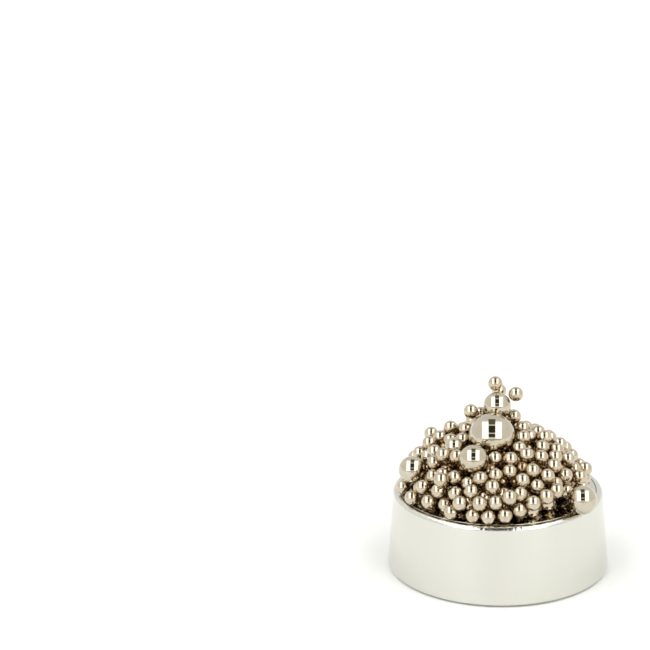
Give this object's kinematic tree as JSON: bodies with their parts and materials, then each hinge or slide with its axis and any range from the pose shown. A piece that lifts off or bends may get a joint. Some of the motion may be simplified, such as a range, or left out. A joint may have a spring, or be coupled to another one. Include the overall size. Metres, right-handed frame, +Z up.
{
  "type": "magnetic desk sculpture",
  "caption": "Round chromed magnet base with a pile of loose plated steel balls of three sizes that pull off one by one.",
  "frame": {"origin": "centre of the underside of the foot pad, on the desk", "axes": "+Z up through the base; -Y is the front of the pile, +X its right"},
  "size_m": [0.06, 0.06, 0.0515],
  "materials": {
    "chromed_shell": "bright chrome plating over moulded plastic",
    "mirror_plate": "polished steel disc, mirror bright",
    "nickel_steel": "nickel-plated steel balls, warm bright polish",
    "ferrite": "sintered dark grey ferrite",
    "black_plastic": "moulded black plastic",
    "screw_steel": "zinc-plated steel",
    "felt": "dark pressed felt"
  },
  "bodies": {
    "base": {"base_shell": "chromed_shell", "top_plate": "mirror_plate", "magnet": "ferrite", "bottom_cover": "black_plastic", "cover_screw_1": "screw_steel", "cover_screw_2": "screw_steel", "cover_screw_3": "screw_steel", "foot_pad": "felt"},
    "joined_pile": {"joined_pile": "nickel_steel"},
    "large_ball": {"large_ball": "nickel_steel"},
    "middle_ball_top": {"middle_ball_top": "nickel_steel"},
    "middle_ball_front": {"middle_ball_front": "nickel_steel"},
    "middle_ball_left": {"middle_ball_left": "nickel_steel"},
    "middle_ball_rim": {"middle_ball_rim": "nickel_steel"},
    "middle_ball_back_left": {"middle_ball_back_left": "nickel_steel"},
    "small_ball_01": {"small_ball_01": "nickel_steel"},
    "small_ball_02": {"small_ball_02": "nickel_steel"},
    "small_ball_03": {"small_ball_03": "nickel_steel"},
    "small_ball_04": {"small_ball_04": "nickel_steel"},
    "small_ball_05": {"small_ball_05": "nickel_steel"},
    "small_ball_06": {"small_ball_06": "nickel_steel"},
    "small_ball_07": {"small_ball_07": "nickel_steel"},
    "small_ball_08": {"small_ball_08": "nickel_steel"},
    "small_ball_09": {"small_ball_09": "nickel_steel"},
    "small_ball_10": {"small_ball_10": "nickel_steel"},
    "small_ball_11": {"small_ball_11": "nickel_steel"},
    "small_ball_12": {"small_ball_12": "nickel_steel"},
    "small_ball_13": {"small_ball_13": "nickel_steel"},
    "small_ball_14": {"small_ball_14": "nickel_steel"},
    "small_ball_15": {"small_ball_15": "nickel_steel"},
    "small_ball_16": {"small_ball_16": "nickel_steel"},
    "small_ball_17": {"small_ball_17": "nickel_steel"},
    "small_ball_18": {"small_ball_18": "nickel_steel"},
    "small_ball_19": {"small_ball_19": "nickel_steel"},
    "small_ball_20": {"small_ball_20": "nickel_steel"},
    "small_ball_21": {"small_ball_21": "nickel_steel"},
    "small_ball_22": {"small_ball_22": "nickel_steel"},
    "small_ball_23": {"small_ball_23": "nickel_steel"},
    "small_ball_24": {"small_ball_24": "nickel_steel"},
    "small_ball_25": {"small_ball_25": "nickel_steel"},
    "small_ball_26": {"small_ball_26": "nickel_steel"},
    "small_ball_27": {"small_ball_27": "nickel_steel"},
    "small_ball_28": {"small_ball_28": "nickel_steel"},
    "small_ball_29": {"small_ball_29": "nickel_steel"},
    "small_ball_30": {"small_ball_30": "nickel_steel"},
    "small_ball_31": {"small_ball_31": "nickel_steel"},
    "small_ball_32": {"small_ball_32": "nickel_steel"},
    "small_ball_33": {"small_ball_33": "nickel_steel"},
    "small_ball_34": {"small_ball_34": "nickel_steel"},
    "small_ball_35": {"small_ball_35": "nickel_steel"},
    "small_ball_36": {"small_ball_36": "nickel_steel"},
    "small_ball_37": {"small_ball_37": "nickel_steel"},
    "small_ball_38": {"small_ball_38": "nickel_steel"},
    "small_ball_39": {"small_ball_39": "nickel_steel"},
    "small_ball_40": {"small_ball_40": "nickel_steel"},
    "small_ball_41": {"small_ball_41": "nickel_steel"},
    "small_ball_42": {"small_ball_42": "nickel_steel"},
    "small_ball_43": {"small_ball_43": "nickel_steel"},
    "small_ball_44": {"small_ball_44": "nickel_steel"},
    "small_ball_45": {"small_ball_45": "nickel_steel"}
  },
  "joints": [
    {"name": "pile_lift", "type": "slide", "parent": "base", "child": "joined_pile", "axis": [0, 0, 1], "range_m": [0, 0.03]},
    {"name": "large_ball_pull", "type": "slide", "parent": "joined_pile", "child": "large_ball", "axis": [-0.067, -0.265, 0.9619], "range_m": [0, 0.02]},
    {"name": "middle_ball_top_pull", "type": "slide", "parent": "large_ball", "child": "middle_ball_top", "axis": [-0.001, 0.094, 0.9956], "range_m": [0, 0.02]},
    {"name": "middle_ball_front_pull", "type": "slide", "parent": "joined_pile", "child": "middle_ball_front", "axis": [-0.244, -0.6649, 0.7059], "range_m": [0, 0.02]},
    {"name": "middle_ball_left_pull", "type": "slide", "parent": "joined_pile", "child": "middle_ball_left", "axis": [-0.8741, -0.249, 0.417], "range_m": [0, 0.02]},
    {"name": "middle_ball_rim_pull", "type": "slide", "parent": "joined_pile", "child": "middle_ball_rim", "axis": [0.7177, -0.5868, 0.3749], "range_m": [0, 0.02]},
    {"name": "middle_ball_back_left_pull", "type": "slide", "parent": "joined_pile", "child": "middle_ball_back_left", "axis": [-0.3539, -0.053, 0.9338], "range_m": [0, 0.02]},
    {"name": "small_ball_01_pull", "type": "slide", "parent": "middle_ball_top", "child": "small_ball_01", "axis": [0.017, 0.258, 0.966], "range_m": [0, 0.02]},
    {"name": "small_ball_02_pull", "type": "slide", "parent": "small_ball_01", "child": "small_ball_02", "axis": [-0.016, 0.1569, 0.9875], "range_m": [0, 0.02]},
    {"name": "small_ball_03_pull", "type": "slide", "parent": "middle_ball_top", "child": "small_ball_03", "axis": [0.1689, 0.1179, 0.9785], "range_m": [0, 0.02]},
    {"name": "small_ball_04_pull", "type": "slide", "parent": "middle_ball_top", "child": "small_ball_04", "axis": [-0.3849, 0.3849, 0.8388], "range_m": [0, 0.02]},
    {"name": "small_ball_05_pull", "type": "slide", "parent": "small_ball_04", "child": "small_ball_05", "axis": [-0.2761, 0.075, 0.9582], "range_m": [0, 0.02]},
    {"name": "small_ball_06_pull", "type": "slide", "parent": "joined_pile", "child": "small_ball_06", "axis": [0.5181, 0.4811, 0.7072], "range_m": [0, 0.02]},
    {"name": "small_ball_07_pull", "type": "slide", "parent": "joined_pile", "child": "small_ball_07", "axis": [0.4059, -0.204, 0.8909], "range_m": [0, 0.02]},
    {"name": "small_ball_08_pull", "type": "slide", "parent": "joined_pile", "child": "small_ball_08", "axis": [0.3179, -0.2569, 0.9127], "range_m": [0, 0.02]},
    {"name": "small_ball_09_pull", "type": "slide", "parent": "joined_pile", "child": "small_ball_09", "axis": [-0.714, 0.25, 0.654], "range_m": [0, 0.02]},
    {"name": "small_ball_10_pull", "type": "slide", "parent": "joined_pile", "child": "small_ball_10", "axis": [-0.5452, 0.2151, 0.8103], "range_m": [0, 0.02]},
    {"name": "small_ball_11_pull", "type": "slide", "parent": "joined_pile", "child": "small_ball_11", "axis": [-0.7521, 0.008, 0.659], "range_m": [0, 0.02]},
    {"name": "small_ball_12_pull", "type": "slide", "parent": "joined_pile", "child": "small_ball_12", "axis": [-0.8502, 0.02, 0.5261], "range_m": [0, 0.02]},
    {"name": "small_ball_13_pull", "type": "slide", "parent": "joined_pile", "child": "small_ball_13", "axis": [-0.7091, -0.24, 0.663], "range_m": [0, 0.02]},
    {"name": "small_ball_14_pull", "type": "slide", "parent": "joined_pile", "child": "small_ball_14", "axis": [-0.7348, -0.4039, 0.5449], "range_m": [0, 0.02]},
    {"name": "small_ball_15_pull", "type": "slide", "parent": "joined_pile", "child": "small_ball_15", "axis": [-0.5759, -0.4509, 0.6819], "range_m": [0, 0.02]},
    {"name": "small_ball_16_pull", "type": "slide", "parent": "joined_pile", "child": "small_ball_16", "axis": [-0.4431, -0.5431, 0.7132], "range_m": [0, 0.02]},
    {"name": "small_ball_17_pull", "type": "slide", "parent": "joined_pile", "child": "small_ball_17", "axis": [-0.8942, 0.14, 0.4251], "range_m": [0, 0.02]},
    {"name": "small_ball_18_pull", "type": "slide", "parent": "joined_pile", "child": "small_ball_18", "axis": [-0.7541, -0.5391, 0.3751], "range_m": [0, 0.02]},
    {"name": "small_ball_19_pull", "type": "slide", "parent": "joined_pile", "child": "small_ball_19", "axis": [-0.5309, -0.7039, 0.4719], "range_m": [0, 0.02]},
    {"name": "small_ball_20_pull", "type": "slide", "parent": "joined_pile", "child": "small_ball_20", "axis": [0.33, -0.536, 0.777], "range_m": [0, 0.02]},
    {"name": "small_ball_21_pull", "type": "slide", "parent": "joined_pile", "child": "small_ball_21", "axis": [-0.5348, -0.6458, 0.5448], "range_m": [0, 0.02]},
    {"name": "small_ball_22_pull", "type": "slide", "parent": "joined_pile", "child": "small_ball_22", "axis": [-0.17, -0.8182, 0.5492], "range_m": [0, 0.02]},
    {"name": "small_ball_23_pull", "type": "slide", "parent": "joined_pile", "child": "small_ball_23", "axis": [0, -0.5447, 0.8386], "range_m": [0, 0.02]},
    {"name": "small_ball_24_pull", "type": "slide", "parent": "joined_pile", "child": "small_ball_24", "axis": [0.112, -0.9157, 0.3859], "range_m": [0, 0.02]},
    {"name": "small_ball_25_pull", "type": "slide", "parent": "joined_pile", "child": "small_ball_25", "axis": [-0.6615, -0.6496, 0.3747], "range_m": [0, 0.02]},
    {"name": "small_ball_26_pull", "type": "slide", "parent": "joined_pile", "child": "small_ball_26", "axis": [-0.7957, -0.4758, 0.3748], "range_m": [0, 0.02]},
    {"name": "small_ball_27_pull", "type": "slide", "parent": "joined_pile", "child": "small_ball_27", "axis": [-0.6539, -0.7109, 0.259], "range_m": [0, 0.02]},
    {"name": "small_ball_28_pull", "type": "slide", "parent": "joined_pile", "child": "small_ball_28", "axis": [-0.16, -0.9131, 0.375], "range_m": [0, 0.02]},
    {"name": "small_ball_29_pull", "type": "slide", "parent": "joined_pile", "child": "small_ball_29", "axis": [0, -0.9338, 0.3579], "range_m": [0, 0.02]},
    {"name": "small_ball_30_pull", "type": "slide", "parent": "joined_pile", "child": "small_ball_30", "axis": [0.07, -0.9245, 0.3748], "range_m": [0, 0.02]},
    {"name": "small_ball_31_pull", "type": "slide", "parent": "joined_pile", "child": "small_ball_31", "axis": [-0.9031, -0.209, 0.3751], "range_m": [0, 0.02]},
    {"name": "small_ball_32_pull", "type": "slide", "parent": "joined_pile", "child": "small_ball_32", "axis": [0.4989, 0.056, 0.8648], "range_m": [0, 0.02]},
    {"name": "small_ball_33_pull", "type": "slide", "parent": "joined_pile", "child": "small_ball_33", "axis": [0.49, -0.395, 0.7771], "range_m": [0, 0.02]},
    {"name": "small_ball_34_pull", "type": "slide", "parent": "joined_pile", "child": "small_ball_34", "axis": [0.7224, 0, 0.6914], "range_m": [0, 0.02]},
    {"name": "small_ball_35_pull", "type": "slide", "parent": "joined_pile", "child": "small_ball_35", "axis": [0.331, -0.551, 0.766], "range_m": [0, 0.02]},
    {"name": "small_ball_36_pull", "type": "slide", "parent": "joined_pile", "child": "small_ball_36", "axis": [0.5842, -0.3981, 0.7072], "range_m": [0, 0.02]},
    {"name": "small_ball_37_pull", "type": "slide", "parent": "joined_pile", "child": "small_ball_37", "axis": [0.7626, -0.2768, 0.5847], "range_m": [0, 0.02]},
    {"name": "small_ball_38_pull", "type": "slide", "parent": "joined_pile", "child": "small_ball_38", "axis": [0.603, -0.527, 0.599], "range_m": [0, 0.02]},
    {"name": "small_ball_39_pull", "type": "slide", "parent": "joined_pile", "child": "small_ball_39", "axis": [0.716, -0.505, 0.482], "range_m": [0, 0.02]},
    {"name": "small_ball_40_pull", "type": "slide", "parent": "joined_pile", "child": "small_ball_40", "axis": [0.9125, -0.1061, 0.3952], "range_m": [0, 0.02]},
    {"name": "small_ball_41_pull", "type": "slide", "parent": "joined_pile", "child": "small_ball_41", "axis": [0.8471, -0.352, 0.3981], "range_m": [0, 0.02]},
    {"name": "small_ball_42_pull", "type": "slide", "parent": "joined_pile", "child": "small_ball_42", "axis": [0.4549, -0.8078, 0.3749], "range_m": [0, 0.02]},
    {"name": "small_ball_43_pull", "type": "slide", "parent": "joined_pile", "child": "small_ball_43", "axis": [0.133, -0.6151, 0.7771], "range_m": [0, 0.02]},
    {"name": "small_ball_44_pull", "type": "slide", "parent": "joined_pile", "child": "small_ball_44", "axis": [0.328, -0.867, 0.375], "range_m": [0, 0.02]},
    {"name": "small_ball_45_pull", "type": "slide", "parent": "joined_pile", "child": "small_ball_45", "axis": [0.6013, -0.6573, 0.4542], "range_m": [0, 0.02]}
  ]
}
